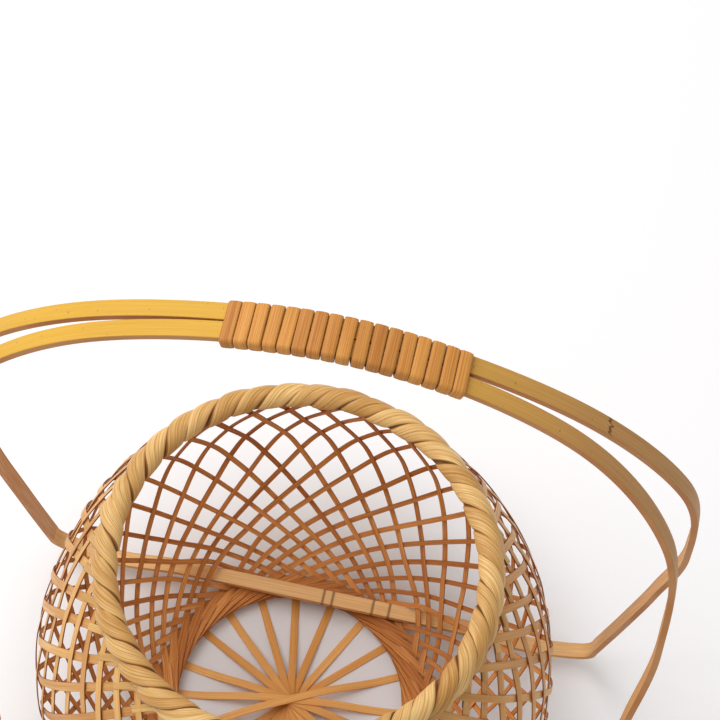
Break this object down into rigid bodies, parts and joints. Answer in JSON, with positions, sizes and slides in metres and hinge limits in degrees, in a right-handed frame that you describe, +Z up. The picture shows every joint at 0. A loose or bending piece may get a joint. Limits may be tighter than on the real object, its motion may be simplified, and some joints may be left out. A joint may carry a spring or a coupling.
{
  "type": "flower basket",
  "caption": "Bamboo ikebana basket: bulging body of open diamond weave, rope-like rim, spoked base, and a tall double hoop handle bound with rattan at the grip.",
  "frame": {"origin": "centre of the base on the surface the basket stands on, under the middle of the handle", "axes": "+Z up to the grip, +X along the handle to the right as seen from the front, +Y to the back"},
  "size_m": [0.3552, 0.2764, 0.4188],
  "materials": {
    "weave_bamboo": "satin",
    "rim_bamboo": "satin",
    "base_bamboo": "satin",
    "hoop_bamboo": "satin",
    "rattan_peel": "satin"
  },
  "bodies": {
    "root": {"weave_strip_01": "weave_bamboo", "weave_strip_02": "weave_bamboo", "weave_strip_03": "weave_bamboo", "weave_strip_04": "weave_bamboo", "weave_strip_05": "weave_bamboo", "weave_strip_06": "weave_bamboo", "weave_strip_07": "weave_bamboo", "weave_strip_08": "weave_bamboo", "weave_strip_09": "weave_bamboo", "weave_strip_10": "weave_bamboo", "weave_strip_11": "weave_bamboo", "weave_strip_12": "weave_bamboo", "weave_strip_13": "weave_bamboo", "weave_strip_14": "weave_bamboo", "weave_strip_15": "weave_bamboo", "weave_strip_16": "weave_bamboo", "weave_strip_17": "weave_bamboo", "weave_strip_18": "weave_bamboo", "weave_strip_19": "weave_bamboo", "weave_strip_20": "weave_bamboo", "weave_strip_21": "weave_bamboo", "weave_strip_22": "weave_bamboo", "weave_strip_23": "weave_bamboo", "weave_strip_24": "weave_bamboo", "weave_strip_25": "weave_bamboo", "weave_strip_26": "weave_bamboo", "weave_strip_27": "weave_bamboo", "weave_strip_28": "weave_bamboo", "weave_strip_29": "weave_bamboo", "weave_strip_30": "weave_bamboo", "weave_strip_31": "weave_bamboo", "weave_strip_32": "weave_bamboo", "weave_strip_33": "weave_bamboo", "weave_strip_34": "weave_bamboo", "weave_strip_35": "weave_bamboo", "weave_strip_36": "weave_bamboo", "weave_strip_37": "weave_bamboo", "weave_strip_38": "weave_bamboo", "weave_strip_39": "weave_bamboo", "weave_strip_40": "weave_bamboo", "rim_rope": "rim_bamboo", "base_strip_01": "base_bamboo", "base_strip_02": "base_bamboo", "base_strip_03": "base_bamboo", "base_strip_04": "base_bamboo", "base_strip_05": "base_bamboo", "base_strip_06": "base_bamboo", "base_strip_07": "base_bamboo", "base_strip_08": "base_bamboo", "base_strip_09": "base_bamboo", "base_strip_10": "base_bamboo", "handle_hoop_back": "hoop_bamboo", "handle_hoop_front": "hoop_bamboo", "grip_binding": "rattan_peel"}
  },
  "joints": []
}
